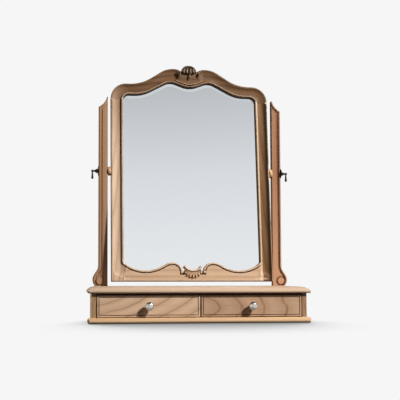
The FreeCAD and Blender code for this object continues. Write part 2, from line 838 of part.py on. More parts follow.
def drop_handle():
    """Pear drop that hangs from the knuckle by a flat tongue."""
    hinge = drop_hinge()
    tongue = Part.makeCylinder(drop_tongue_radius, drop_tongue_thick,
                               hinge - V(0, drop_tongue_thick / 2, 0), V(0, 1, 0))
    bulb = drop_length - drop_bulb_radius
    neck = Part.makeCone(drop_neck_radius, drop_bulb_radius, bulb, hinge, V(0, 0, -1))
    clear = knuckle_radius + slide_gap
    throat = Part.makeSphere(clear, hinge)
    strip = block(hinge - V(drop_bulb_radius, drop_tongue_thick / 2, clear + overrun),
                  hinge + V(drop_bulb_radius, drop_tongue_thick / 2, 0))
    shank = neck.common(strip)
    ball = Part.makeSphere(drop_bulb_radius, hinge - V(0, 0, bulb))
    drop = fused([tongue, neck.cut(throat), shank, ball])
    hole = Part.makeCylinder(drop_pin_radius + fit_gap, drop_tongue_thick + 2 * overrun,
                             hinge - V(0, drop_tongue_thick / 2 + overrun, 0), V(0, 1, 0))
    return drop.cut(hole)


# Base

def quarter_round(start, end, corner, y):
    """Quarter of an oval from start to end, bulging towards the corner."""
    share = quarter_round_share
    ease_in = (start[0] + (corner[0] - start[0]) * share, start[1] + (corner[1] - start[1]) * share)
    ease_out = (end[0] + (corner[0] - end[0]) * share, end[1] + (corner[1] - end[1]) * share)
    curve = Part.BezierCurve()
    curve.setPoles([at(p, y) for p in (start, ease_in, ease_out, end)])
    return curve.toShape()


def thumbnail_edges(out, stop):
    """Top board edge that reaches furthest at out: small round below, long flat round above."""
    tip = opening_top + top_nose
    drop = base_height - tip
    inside = out + top_moulding_run
    radius = (top_moulding_run**2 + drop**2) / (2 * drop)
    middle_degrees = 90 + math.degrees(math.asin(top_moulding_run / radius)) / 2
    middle = on_circle((inside, base_height - radius), radius, middle_degrees)
    return [line((stop, opening_top), (out + top_nose, opening_top), 0),
            quarter_round((out + top_nose, opening_top), (out, tip), (out, opening_top), 0),
            arc((out, tip), middle, (inside, base_height), 0),
            line((inside, base_height), (stop, base_height), 0)]


def bullnose_edges(out, stop):
    """Floor board edge that reaches furthest at out: a blunt round nose, fuller above than below."""
    inside = out + floor_nose_run
    belly = floor_thick * (1 - floor_nose_share)
    return [line((stop, 0), (inside, 0), 0), quarter_round((inside, 0), (out, belly), (out, 0), 0),
            quarter_round((out, belly), (inside, floor_thick), (out, floor_thick), 0),
            line((inside, floor_thick), (stop, floor_thick), 0)]


def moulded_board(edge):
    """Board with the same moulding on its front and both ends, mitred and rounded at the front corners."""
    across = prism(both_sides(edge(-base_half, 0)), base_depth)
    across.translate(V(0, base_front, 0))
    section = edge(base_front, base_back)
    plain_back = line((base_back, section[-1].BoundBox.ZMax), (base_back, section[0].BoundBox.ZMin), 0)
    along = prism(Part.Wire(Part.__sortEdges__(section + [plain_back])), 2 * base_half)
    along.translate(V(0, -base_half, 0))
    along.rotate(V(0, 0, 0), V(0, 0, 1), 90)
    board = across.common(along)
    pin = V(base_half - plan_corner_radius, base_front + plan_corner_radius, -overrun)
    height = base_height + 2 * overrun
    waste = block(pin + V(0, -plan_corner_radius - overrun, 0), pin + V(plan_corner_radius + overrun, 0, height))
    waste = waste.cut(Part.makeCylinder(plan_corner_radius, height, pin))
    return board.cut(waste).cut(mirrored(waste))


def floor_board():
    """Floor board: its nose turns the front corners and stops, and the rest is flush with the ends."""
    turn_end = base_front + floor_return
    nose = moulded_board(bullnose_edges).common(block(V(-base_half - overrun, base_front - overrun, -overrun),
                                                      V(base_half + overrun, turn_end, base_height)))
    return fused([nose, block(V(-end_outer, turn_end, 0), V(end_outer, base_back, floor_thick))])


def base_screws(gap):
    """Screws up through the floor board into the ends and the divider."""
    screws = []
    for x in (-(end_inner + end_thick / 2), 0, end_inner + end_thick / 2):
        for share in base_screw_shares:
            y = (carcass_front + carcass_back) / 2 + share * (carcass_back - carcass_front) / 2
            tip = V(x, y, base_screw_length)
            screws.append(countersunk_screw(tip, V(0, 0, -1), base_screw_length, base_screw_radius,
                                            base_screw_head, gap))
    return screws


def base_pieces():
    """Boards of the base, with the holes for their screws."""
    floor = floor_board()
    top = moulded_board(thumbnail_edges)
    end = block(V(end_inner, carcass_front, floor_thick), V(end_outer, carcass_back, opening_top))
    divider_front = fronts_back + slide_gap
    divider = block(V(-divider_thick / 2, divider_front, floor_thick),
                    V(divider_thick / 2, back_inner, opening_top))
    back = block(V(-end_inner, back_inner, floor_thick), V(end_inner, carcass_back, opening_top))
    for screw in base_screws(fit_gap):
        floor = floor.cut(screw)
        end = end.cut(screw)
        divider = divider.cut(screw)
    for screw in post_screws(fit_gap):
        top = top.cut(screw)
    strip_front = carcass_front + top_strip_set_back
    strip = block(V(-end_inner, strip_front, opening_top - top_strip_thick),
                  V(end_inner, fronts_back, opening_top))
    return {"base_floor": floor, "base_top": top, "base_end_right": end, "base_end_left": mirrored(end),
            "base_divider": divider, "base_back": back, "top_strip": strip}


def drawer_strips():
    """Kickers above the drawer sides, and stops behind the drawers."""
    low = floor_thick + slide_gap + drawer_side_height + slide_gap
    near = fronts_back + slide_gap
    kickers = [block(V(end_inner - kicker_width, near, low), V(end_inner, back_inner, opening_top)),
               block(V(divider_thick / 2, near, low),
                     V(divider_thick / 2 + kicker_width, back_inner, opening_top))]
    stops = []
    for x in (end_inner - stop_length, divider_thick / 2):
        stops.append(block(V(x, drawer_box_back + slide_gap, floor_thick),
                           V(x + stop_length, back_inner, floor_thick + stop_height)))
    return kickers + [mirrored(k) for k in kickers], stops + [mirrored(s) for s in stops]


# Drawers, drawn on the right side

def drawer_pieces():
    outer = end_inner - drawer_end_gap
    front_inner = drawer_middle_gap / 2
    box_inner = divider_thick / 2 + divider_gap
    low = floor_thick + drawer_floor_gap
    high = low + drawer_front_height
    front = block(V(front_inner, carcass_front, low), V(outer, fronts_back, high))
    face_edges = [e for e in front.Edges if e.BoundBox.YMax < carcass_front + fit_gap]
    front = front.makeFillet(drawer_edge_round, face_edges)
    ring_low = V(front_inner + drawer_bead_width, carcass_front - overrun, low + drawer_bead_width)
    ring_high = V(outer - drawer_bead_width, carcass_front + drawer_groove_depth, high - drawer_bead_width)
    step = V(drawer_groove_width, 0, drawer_groove_width)
    groove = block(ring_low, ring_high).cut(block(ring_low + step, ring_high - step + V(0, overrun, 0)))
    front = front.cut(groove)

    side_low = floor_thick + slide_gap
    side_high = side_low + drawer_side_height
    bottom_low = side_low + drawer_bottom_rise
    bottom_high = bottom_low + drawer_bottom_thick
    side_outer = block(V(outer - drawer_side_thick, fronts_back, side_low),
                       V(outer, drawer_box_back, side_high))
    side_inner = block(V(box_inner, fronts_back, side_low),
                       V(box_inner + drawer_side_thick, drawer_box_back, side_high))
    between = (box_inner + drawer_side_thick, outer - drawer_side_thick)
    back = block(V(between[0], drawer_box_back - drawer_side_thick, bottom_high),
                 V(between[1], drawer_box_back, side_high - drawer_back_drop))
    bottom = block(V(between[0] - drawer_groove_let_in, fronts_back - drawer_groove_let_in, bottom_low),
                   V(between[1] + drawer_groove_let_in, drawer_box_back, bottom_high))
    knob_x = (front_inner + outer) / 2
    knob_z = (low + high) / 2
    knob, screw, hole = drawer_knob(knob_x, knob_z)
    return {"front": front.cut(bottom).cut(hole), "side_outer": side_outer.cut(bottom),
            "side_inner": side_inner.cut(bottom), "back": back, "bottom": bottom,
            "knob": knob, "knob_screw": screw}


def drawer_knob(x, z):
    """Round metal knob on a waisted neck, held by a screw from inside the drawer."""
    face = V(x, carcass_front, z)
    forward = V(0, -1, 0)
    back = knob_foot_thick + knob_neck_length
    belly = back + (knob_length - back) * knob_belly_share
    neck = knob_neck_radius
    edges = [line((0, 0), (knob_foot_radius, 0), 0),
             line((knob_foot_radius, 0), (knob_foot_radius, knob_foot_thick), 0),
             quarter_round((knob_foot_radius, knob_foot_thick), (neck, back), (neck, knob_foot_thick), 0),
             quarter_round((neck, back), (knob_radius, belly), (knob_radius, back), 0),
             quarter_round((knob_radius, belly), (0, knob_length), (knob_radius, knob_length), 0),
             line((0, knob_length), (0, 0), 0)]
    knob = Part.Face(Part.Wire(Part.__sortEdges__(edges))).revolve(V(0, 0, 0), V(0, 0, 1), 360)
    knob.rotate(V(0, 0, 0), V(1, 0, 0), 90)
    knob.translate(face)
    inside = V(x, fronts_back, z)
    length = drawer_front_thick + knob_screw_bite
    screw = turned([(-knob_screw_head_thick, 0), (-knob_screw_head_thick, knob_screw_head),
                    (0, knob_screw_head), (0, knob_screw_radius), (length, knob_screw_radius), (length, 0)],
                   inside, forward)
    hole = Part.makeCylinder(knob_screw_radius + fit_gap, length + fit_gap, inside, forward)
    return knob.cut(hole), screw, hole


# Assembly

def leaned(shape):
    """Frame piece, drawn upright about the pivot axis, set in the stand at its resting lean."""
    placed = shape.copy()
    placed.rotate(V(0, 0, 0), V(1, 0, 0), -frame_lean_degrees)
    placed.translate(V(0, pivot_y, pivot_height))
    return placed


def about_pivot(shape):
    """Piece drawn in the stand, turned with the frame about the pivot axis."""
    placed = shape.copy()
    placed.rotate(V(0, pivot_y, pivot_height), V(1, 0, 0), -frame_lean_degrees)
    return placed


def unplaced(shape):
    """Piece drawn upright in the stand, moved to the frame's own axes."""
    moved = shape.copy()
    moved.translate(V(0, -pivot_y, -pivot_height))
    return moved


def mirror_pieces():
    """Everything that tilts with the frame."""
    clips, clip_screws, clip_holes = backing_clips()
    cutters = frame_dowels(fit_gap) + clip_holes
    for tool in [pivot_plate(fit_gap)] + plate_screws(fit_gap):
        cutters += [unplaced(tool), unplaced(mirrored(tool))]
    members = frame_members(whole_frame())
    carvings = {"crest_shell": crest_shell(),
                "sill_shell": sill_shell(members["bottom_rail"])}
    for name in members:
        for cutter in cutters:
            members[name] = members[name].cut(cutter)
    pieces = {name: leaned(member) for name, member in members.items()}
    pieces.update({name: leaned(carving) for name, carving in carvings.items()})
    pieces["frame_dowels"] = leaned(Part.makeCompound(frame_dowels(0)))
    pieces["mirror_glass"] = leaned(mirror_glass())
    pieces["backing_board"] = leaned(backing_board())
    pieces["backing_clips"] = leaned(Part.makeCompound(clips))
    pieces["backing_clip_screws"] = leaned(Part.makeCompound(clip_screws))
    plate = bored(pivot_plate(0), spindle_radius + fit_gap)
    for screw in plate_screws(fit_gap):
        plate = plate.cut(screw)
    screws = plate_screws(0)
    pieces["pivot_plate_screws"] = about_pivot(Part.makeCompound(screws + [mirrored(s) for s in screws]))
    for name, shape in (("pivot_plate", plate), ("spacer", spacer())):
        pieces[name + "_right"] = about_pivot(shape)
        pieces[name + "_left"] = about_pivot(mirrored(shape))
    return pieces


def build():
    pieces = mirror_pieces()
    pieces.update(base_pieces())
    kickers, stops = drawer_strips()
    pieces["drawer_kickers"] = Part.makeCompound(kickers)
    pieces["drawer_stops"] = Part.makeCompound(stops)
    pieces["base_screws"] = Part.makeCompound(base_screws(0))
    pieces["post_screws"] = Part.makeCompound(post_screws(0))
    pairs = {"post": post_right(), "post_bush": post_bush(), "rosette": rosette(),
             "mirror_screw": mirror_screw(), "drop_pin": drop_pin(0), "drop_handle": drop_handle()}
    for name, shape in drawer_pieces().items():
        pairs["drawer_" + name] = shape
    for name, shape in pairs.items():
        pieces[name + "_right"] = shape
        pieces[name + "_left"] = mirrored(shape)
    return pieces


os.makedirs("parts", exist_ok=True)
for node, shape in build().items():
    shape.exportStep("parts/" + node + ".step")
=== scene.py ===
import json
import math

import bmesh
import bpy
import numpy as np
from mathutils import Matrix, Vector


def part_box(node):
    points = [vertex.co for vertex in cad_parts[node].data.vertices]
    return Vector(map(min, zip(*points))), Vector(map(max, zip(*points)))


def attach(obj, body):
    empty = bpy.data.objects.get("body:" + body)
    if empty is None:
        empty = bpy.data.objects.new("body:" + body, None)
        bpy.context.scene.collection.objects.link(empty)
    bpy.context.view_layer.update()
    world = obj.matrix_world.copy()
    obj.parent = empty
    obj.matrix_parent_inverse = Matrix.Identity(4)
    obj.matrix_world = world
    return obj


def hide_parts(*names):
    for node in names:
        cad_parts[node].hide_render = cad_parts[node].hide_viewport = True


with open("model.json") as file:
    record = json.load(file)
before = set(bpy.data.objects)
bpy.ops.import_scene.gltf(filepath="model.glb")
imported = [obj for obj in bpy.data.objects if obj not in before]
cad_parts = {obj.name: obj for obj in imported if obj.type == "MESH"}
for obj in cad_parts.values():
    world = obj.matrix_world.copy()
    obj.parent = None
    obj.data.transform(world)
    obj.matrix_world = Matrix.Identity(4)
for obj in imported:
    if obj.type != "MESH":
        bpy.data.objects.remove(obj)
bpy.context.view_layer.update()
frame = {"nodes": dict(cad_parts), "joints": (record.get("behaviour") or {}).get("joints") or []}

# Base: boards of pale, open-grained wood, glued and screwed into a low box. The top has a thumbnail
# edge and the floor board a bullnose. A thin brown glaze was wiped over them; their corners are darkened,
# partly by that glaze and partly by painted shade.


def linear(red, green, blue):
    """Display colour, each part 0 to 255, as the linear light that a shader takes: a power curve with a
    straight toe."""
    toe_end, toe_slope, offset, power = 0.04045, 12.92, 0.055, 2.4
    share = np.array((red, green, blue)) / 255
    curve = ((share + offset) / (1 + offset)) ** power
    return tuple(np.where(share <= toe_end, share / toe_slope, curve)) + (1.0,)


def part_of(tree, kind, links=(), **settings):
    """New shader node with its settings; links pairs an input with a socket or a plain value."""
    made = tree.nodes.new(kind)
    for name, value in settings.items():
        setattr(made, name, value)
    for entry, source in links:
        if isinstance(source, bpy.types.NodeSocket):
            tree.links.new(source, made.inputs[entry])
        else:
            made.inputs[entry].default_value = source
    return made


def number(tree, operation, *values):
    """Number that an operation makes of numbers, each a socket or a plain one."""
    return part_of(tree, "ShaderNodeMath", enumerate(values), operation=operation).outputs[0]


def vector(tree, operation, *values):
    """Vector that an operation makes of vectors, or the number if it takes a length or a dot product."""
    made = part_of(tree, "ShaderNodeVectorMath", enumerate(values), operation=operation)
    return made.outputs["Value" if operation in ("LENGTH", "DOT_PRODUCT") else "Vector"]


def noise(tree, place, scale, detail):
    """Soft noise, 0 to 1, at a place."""
    made = part_of(tree, "ShaderNodeTexNoise", [("Vector", place), ("Scale", scale), ("Detail", detail)])
    return made.outputs["Fac"]


def ramp(tree, factor, stops, interpolation="LINEAR"):
    """Colour that goes through the stops, pairs of place and colour, as the factor rises."""
    made = part_of(tree, "ShaderNodeValToRGB", [("Fac", factor)])
    made.color_ramp.interpolation = interpolation
    elements = made.color_ramp.elements
    for _ in stops[2:]:
        elements.new(0.5)
    for element, (place, colour) in zip(elements, stops):
        element.position = place
        element.color = colour
    return made.outputs["Color"]


def between(tree, factor, low, high, start=0.0, end=1.0):
    """Factor between low and high, spread over start to end and held there outside."""
    return part_of(tree, "ShaderNodeMapRange", [("Value", factor), ("From Min", low), ("From Max", high),
                                                ("To Min", start), ("To Max", end)]).outputs["Result"]


def mixed(tree, factor, first, second):
    """First colour overlaid with the second by the factor."""
    return part_of(tree, "ShaderNodeMix", [(0, factor), (6, first), (7, second)], data_type="RGBA").outputs[2]


def started(name):
    """New material with its node tree, its shader and the place on the object."""
    material = bpy.data.materials.new(name)
    material.use_nodes = True
    tree = material.node_tree
    place = part_of(tree, "ShaderNodeTexCoord").outputs["Object"]
    return material, tree, tree.nodes["Principled BSDF"], place


waver_scale = 14.0
patch_scale = 7.0
palest_at = 0.35
mid_again_at = 0.8
dark_line_at = 0.93
patch_range = (0.35, 0.7)
patch_share = 0.45
pore_range = (0.52, 0.75)
wall_range = (0.3, 0.72)
wall_share = 0.92
wear_and_light_range = (0.45, 0.75)
proud_from = 0.0022
proud_to = 0.0006
wood_rough_range = (0.42, 0.62)
pore_bump = 0.12
pore_depth = 0.0004
wood_sheen = 0.12


def timber(name, pale, mid, line, heart, stretch, ring=0.012, sway=0.02, glaze=(48, 26, 13), soak=0.95,
           reach=0.006, full=0.42, clear=0.92, fibres=(10, 300, 300), pits=0.35, wall_stain=None,
           front=(0.0, -1.0, 0.0), changes=(), wear=(0.0025, 0.35, None), proud=None):
    """Wood with growth rings: the distance from the tree's heart, squeezed along the grain and swayed by
    noise, is cut into rings that run from mid to pale to a thin dark line. Pores lie over them. Each change
    is a colour that comes in along a direction; some changes are painted shade or highlight. Then painted
    shade on faces that stand square to the front, glaze and painted shade where the wood is hollow, and wear
    and painted edge light on its edges, or only on those that are as proud as a given level."""
    material, tree, shader, place = started(name)
    squeezed = vector(tree, "MULTIPLY", vector(tree, "SUBTRACT", place, heart), stretch)
    waver = noise(tree, squeezed, waver_scale, 3.0)
    swayed = number(tree, "MULTIPLY_ADD", waver, sway, vector(tree, "LENGTH", squeezed))
    phase = number(tree, "FRACT", number(tree, "DIVIDE", swayed, ring))
    rings = ramp(tree, phase, [(0.0, linear(*mid)), (palest_at, linear(*pale)), (mid_again_at, linear(*mid)),
                               (dark_line_at, linear(*line)), (1.0, linear(*mid))], "EASE")
    patches = between(tree, noise(tree, place, patch_scale, 4.0), *patch_range, 0.0, patch_share)
    toned = mixed(tree, patches, rings, linear(*mid))
    pores = noise(tree, vector(tree, "MULTIPLY", place, fibres), 1.0, 2.0)
    coloured = mixed(tree, between(tree, pores, *pore_range, 0.0, pits), toned, linear(*line))
    for direction, low, high, colour in changes:
        along = vector(tree, "DOT_PRODUCT", place, direction)
        coloured = mixed(tree, between(tree, along, low, high), coloured, linear(*colour))
    # Painted shade: faces that stand square to the front are darkened as if they were in shade.
    if wall_stain:
        normal = part_of(tree, "ShaderNodeTexCoord").outputs["Normal"]
        level = number(tree, "ABSOLUTE", vector(tree, "DOT_PRODUCT", normal, front))
        shaded_walls = between(tree, level, *wall_range, wall_share, 0.0)
        coloured = mixed(tree, shaded_walls, coloured, linear(*wall_stain))
    # Hollows are darkened by occlusion: partly a dark glaze, partly painted shade in quirks and grooves.
    hollow = part_of(tree, "ShaderNodeAmbientOcclusion", [("Distance", reach)], samples=8, only_local=True)
    hollow_darkening = between(tree, hollow.outputs["AO"], full, clear, soak, 0.0)
    glazed_and_shaded = mixed(tree, hollow_darkening, coloured, linear(*glaze))
    # Convex edges take the edge colour: partly wear, partly a painted highlight, or painted shade where that
    # colour is dark.
    edge_reach, edge_share, edge_colour = wear
    edge = part_of(tree, "ShaderNodeAmbientOcclusion", [("Distance", edge_reach)], samples=16,
                   only_local=True, inside=True)
    worn_and_lit_edges = between(tree, edge.outputs["AO"], *wear_and_light_range, edge_share, 0.0)
    if proud:
        forward = vector(tree, "DOT_PRODUCT", place, front)
        worn_and_lit_edges = number(tree, "MULTIPLY", worn_and_lit_edges, between(tree, forward, proud - proud_from, proud - proud_to))
    tree.links.new(mixed(tree, worn_and_lit_edges, glazed_and_shaded, linear(*(edge_colour or pale))), shader.inputs["Base Color"])
    tree.links.new(between(tree, pores, 0.3, 0.8, *wood_rough_range), shader.inputs["Roughness"])
    relief = part_of(tree, "ShaderNodeBump", [("Height", pores), ("Strength", pore_bump),
                                              ("Distance", pore_depth)])
    tree.links.new(relief.outputs["Normal"], shader.inputs["Normal"])
    shader.inputs["Specular IOR Level"].default_value = wood_sheen
    return material


def dress(material, *names):
    """Give CAD nodes their finish."""
    for name in names:
        mesh = frame["nodes"][name].data
        mesh.materials.clear()
        mesh.materials.append(material)


along_x = (0.05, 1.0, 1.0)
along_y = (1.0, 0.06, 1.0)
fibres_along_y = (300, 10, 300)
top_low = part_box("base_top")[0]
top_heart_drop = 0.15
floor_heart_drop = 0.2
top_wood = timber("pale_top_wood", heart=(0.0, top_low.y, top_low.z - top_heart_drop), stretch=along_x,
                  pits=0.2, pale=(190, 163, 138), mid=(181, 154, 129), line=(167, 139, 113))
dress(top_wood, "base_top")
floor_wood = timber("floor_board_wood", heart=(0.0, top_low.y, top_low.z - floor_heart_drop), stretch=along_x,
                    pits=0.25, pale=(212, 176, 136), mid=(199, 162, 122), line=(176, 136, 95))
dress(floor_wood, "base_floor")
ends = {"left": {"pale": (177, 142, 104), "mid": (164, 130, 94), "line": (130, 96, 67)},
        "right": {"pale": (165, 126, 95), "mid": (152, 114, 84), "line": (121, 86, 60)}}
for side, tones in ends.items():
    end_wood = timber("base_end_wood_" + side, heart=(0.0, -0.3, 0.0), stretch=along_y,
                      fibres=fibres_along_y, **tones)
    dress(end_wood, "base_end_" + side)
dress(end_wood, "base_divider")
back_wood = timber("back_board_wood", heart=(0.1, 0.4, -0.1), stretch=along_x, pits=0.3,
                   pale=(190, 154, 118), mid=(174, 138, 102), line=(144, 108, 76))
dress(back_wood, "base_back")
# The strip under the top is coloured dark brown: a painted shadow of the top's overhang.
overhang_shadow_wood = timber("strip_wood", heart=(0.0, 0.2, 0.2), stretch=along_x,
                     pale=(92, 56, 35), mid=(80, 46, 28), line=(56, 30, 18))
dress(overhang_shadow_wood, "top_strip")

# Screws of plain steel: up through the floor board into the ends, up through the top into the posts,
# into the pivot plates, and at the back of the mirror.

tarnish_range = (0.45, 0.7)
polish_range = (0.3, 0.7)


def metal(name, colour, tarnish, rough, spread, scale, amount):
    """Metal whose tarnish and polish vary in soft patches of noise."""
    material, tree, shader, place = started(name)
    patches = noise(tree, place, scale, 5.0)
    cover = between(tree, patches, *tarnish_range, 0.0, amount)
    tree.links.new(mixed(tree, cover, linear(*colour), linear(*tarnish)), shader.inputs["Base Color"])
    tree.links.new(between(tree, patches, *polish_range, rough, rough + spread), shader.inputs["Roughness"])
    shader.inputs["Metallic"].default_value = 1.0
    return material


screw_steel = metal("screw_steel", colour=(176, 176, 178), tarnish=(120, 116, 110), rough=0.3, spread=0.15,
                    scale=400.0, amount=0.5)
dress(screw_steel, "base_screws", "post_screws", "pivot_plate_screws", "backing_clip_screws",
      "drawer_knob_screw_left", "drawer_knob_screw_right")

# Drawers: flat-sawn fronts with a cock bead round the edge, on plain boxes of planed softwood. Growth
# rings cross each front in wide curves, because the boards were cut near the outside of the log.

fronts = {"left": {"heart": (-0.46, 0.0, 0.16), "stretch": (0.42, 0.0, 1.0),
                   "pale": (214, 180, 148), "mid": (202, 166, 134), "line": (164, 127, 98)},
          "right": {"heart": (-0.06, 0.0, 0.048), "stretch": (0.35, 0.0, 1.0),
                    "pale": (188, 153, 124), "mid": (175, 139, 110), "line": (129, 95, 70)}}
box_wood = timber("planed_box_wood", heart=(0.1, 0.0, -0.2), stretch=along_x, soak=0.3,
                  pale=(226, 200, 160), mid=(212, 184, 142), line=(186, 152, 110))
for side, cut in fronts.items():
    figured = timber("figured_front_" + side, ring=0.026, sway=0.018, fibres=(14, 260, 260), pits=0.25,
                     glaze=(24, 12, 6), full=0.65, **cut)
    dress(figured, "drawer_front_" + side)
    dress(box_wood, *("drawer_" + board + "_" + side
                      for board in ("side_outer", "side_inner", "back", "bottom")))
dress(box_wood, "drawer_kickers", "drawer_stops", "frame_dowels")
nickel = metal("polished_nickel", colour=(222, 216, 208), tarnish=(150, 140, 128), rough=0.04, spread=0.06,
               scale=120.0, amount=0.6)
dress(nickel, "drawer_knob_left", "drawer_knob_right")

# Posts: each sawn from one board, with a coved top, a quirked bead down the outer edge and a scrolled
# foot with a round eye. A warmer, orange stain was used than on the base.

along_z = (1.0, 1.0, 0.05)
fibres_along_z = (300, 300, 10)
toward_foot = ((0.0, 0.0, -1.0), -0.5, -0.2, (184, 136, 101))
# The right post's groove is darkened fully and the left's hardly: partly glaze, partly painted shade of the
# bead's cast shadow on the right post. Both posts' side faces carry painted wall shade.
posts = {"left": {"heart": (-0.2, 0.3, 0.0), "soak": 0.1,
                  "pale": (175, 135, 104), "mid": (162, 122, 91), "line": (128, 90, 62)},
         "right": {"heart": (0.2, 0.3, 0.0), "soak": 1.0, "changes": [toward_foot],
                   "pale": (162, 115, 85), "mid": (150, 104, 75), "line": (121, 80, 53)}}
for side, cut in posts.items():
    post_wood = timber("post_wood_" + side, stretch=along_z, fibres=fibres_along_z, reach=0.009, full=0.85,
                       clear=0.99, glaze=(52, 22, 8), wall_stain=(70, 46, 32), **cut)
    dress(post_wood, "post_" + side)

# Mirror frame: two stiles and two rails, doweled at the corners. The face is moulded with a rim, a scoop
# and a bead at the sight edge. The stain is deeper on the top rail. Every quirk is darkened, partly by glaze
# and partly by painted shade, and the frame also carries painted shade and painted highlights.

pivot = frame["joints"][0]["pos_m"]
lean = math.radians(4.7)
outward = (0.0, -math.cos(lean), math.sin(lean))
at_pivot = float(np.dot(pivot, outward))
face_level = 0.012
# Frame finish: the walls square to the face are near-black painted shade, and the pale colour on raised edges
# is partly wear, partly a painted highlight.
moulded = {"soak": 1.0, "reach": 0.008, "full": 0.5, "clear": 0.94, "wall_stain": (26, 13, 7),
           "front": outward, "wear": (0.006, 0.9, (222, 194, 162)), "proud": at_pivot + face_level}
toward_top = ((0.0, 0.0, 1.0), 0.53, 0.72, (158, 126, 100))
# Right stile: a painted shade band on the scoop's outer wall by the rim, which shades it from the key, and
# painted highlights on the rim's outer edge and on the bead.
painted_scoop_shade = ((1.0, 0.0, 0.0), 0.254, 0.261, (52, 33, 17))
painted_rim_highlight = ((1.0, 0.0, 0.0), 0.2672, 0.2682, (176, 146, 114))
painted_bead_highlight = ((-1.0, 0.0, 0.0), -0.2385, -0.2365, (196, 162, 128))
# Left stile: its edge colour is dark brown, painted shade on edges that face away from the key, and its
# hollows are darkened further, partly as a painted shadow of the bead.
stiles = {"left": {"heart": (-0.4, 0.25, 0.4), "changes": [toward_top], "reach": 0.012, "full": 0.6,
                   "glaze": (40, 20, 9), "wear": (0.006, 0.6, (128, 92, 62)),
                   "pale": (206, 176, 148), "mid": (194, 164, 136), "line": (167, 136, 107)},
          "right": {"heart": (0.4, 0.25, 0.4), "changes": [painted_scoop_shade, painted_rim_highlight, painted_bead_highlight],
                    "pale": (122, 88, 55), "mid": (107, 75, 46), "line": (81, 54, 33)}}
for side, cut in stiles.items():
    stile_wood = timber("stile_wood_" + side, stretch=along_z, fibres=fibres_along_z, **{**moulded, **cut})
    dress(stile_wood, "stile_" + side)
toward_right_stile = ((1.0, 0.0, 0.0), 0.214, 0.234, (162, 133, 106))
sill_wood = timber("sill_wood", heart=(0.0, 0.2, 0.0), stretch=along_x, changes=[toward_right_stile],
                   **{**moulded, "reach": 0.011},
                   pale=(199, 169, 140), mid=(187, 156, 127), line=(168, 136, 106))
dress(sill_wood, "bottom_rail")
toward_left_stile = ((-0.7, 0.0, -0.7), -0.405, -0.355, (138, 108, 83))
crest_wood = timber("crest_rail_wood", heart=(0.0, 0.3, 0.7), stretch=along_x, changes=[toward_left_stile],
                    **{**moulded, "reach": 0.016},
                    pale=(117, 85, 56), mid=(98, 69, 44), line=(70, 47, 29))
dress(crest_wood, "top_rail")
bun_wood = timber("spacer_wood", heart=(0.0, 0.1, 0.5), stretch=(0.2, 1.0, 1.0), soak=0.8,
                  pale=(214, 172, 134), mid=(182, 140, 104), line=(140, 100, 70))
dress(bun_wood, "spacer_left", "spacer_right")

# Mirror plate: silvered float glass with a wide ground bevel. Behind it lies a plain fibre board, held in
# the rebate by brass clips.


def silvered(name, colour, haze):
    """Mirror with a faint, uneven haze in its polish."""
    material, tree, shader, place = started(name)
    film = noise(tree, place, 5.0, 3.0)
    tree.links.new(between(tree, film, 0.4, 0.7, 0.0, haze), shader.inputs["Roughness"])
    shader.inputs["Base Color"].default_value = linear(*colour)
    shader.inputs["Metallic"].default_value = 1.0
    return material


dress(silvered("silvered_glass", colour=(247, 249, 250), haze=0.03), "mirror_glass")
fibre_board = timber("fibre_backing", heart=(0.0, 0.0, 0.0), stretch=(1.0, 1.0, 1.0), ring=2.0, soak=0.4,
                     fibres=(420, 420, 420), pale=(150, 112, 76), mid=(138, 102, 68), line=(110, 78, 50))
dress(fibre_board, "backing_board")
brass = metal("clip_brass", colour=(196, 160, 96), tarnish=(140, 108, 60), rough=0.25, spread=0.2,
              scale=220.0, amount=0.6)
dress(brass, "backing_clips", "pivot_plate_left", "pivot_plate_right", "post_bush_left", "post_bush_right")

# Swivel fittings: cast and turned bronze, darkened to almost black. A thumb screw with a hanging drop goes
# through each post and a domed rosette, and clamps the frame by the plate let into its edge.

bronze = metal("dark_bronze", colour=(52, 46, 38), tarnish=(24, 21, 18), rough=0.28, spread=0.2,
               scale=260.0, amount=0.8)
for side in ("left", "right"):
    dress(bronze, *(piece + "_" + side for piece in ("rosette", "mirror_screw", "drop_handle", "drop_pin")))

# Carvings: on the crest a ribbed canopy with a knot and a drop under it, between two curled lips, and on
# the sill a cupped shell. They were carved apart and glued on. Their hollows are darkened, partly by glaze
# and partly by painted shade, and where they stand out they are paler, partly rubbed and partly a painted
# highlight.

face = -face_level
skin_rows = 28
skin_columns = 20
merge_distance = 1e-6


def in_frame(points):
    """Points drawn upright about the pivot axis, leaned back with the frame and set at the pivot."""
    x, y, z = np.moveaxis(points, -1, 0)
    back = y * math.cos(lean) + z * math.sin(lean)
    up = z * math.cos(lean) - y * math.sin(lean)
    return np.stack((x + pivot[0], back + pivot[1], up + pivot[2]), axis=-1)


def tube(path, across, over):
    """Closed skin round a path: at each point an oval of half sizes across and over, in the plane of the
    path's normal in the frame's face and of the depth. A zero at an end closes the skin there."""
    step = np.gradient(path[:, [0, 2]], axis=0)
    step /= np.linalg.norm(step, axis=1, keepdims=True)
    normal = np.stack((step[:, 1], np.zeros(len(path)), -step[:, 0]), axis=-1)
    turn = np.linspace(0, 2 * math.pi, skin_columns, endpoint=False)
    side = (across[:, None] * np.cos(turn))[:, :, None] * normal[:, None, :]
    depth = (over[:, None] * np.sin(turn))[:, :, None] * np.array((0.0, -1.0, 0.0))
    return path[:, None, :] + side + depth


def placed(name, data):
    """New object with its data, in the scene."""
    made = bpy.data.objects.new(name, data)
    bpy.context.scene.collection.objects.link(made)
    return made


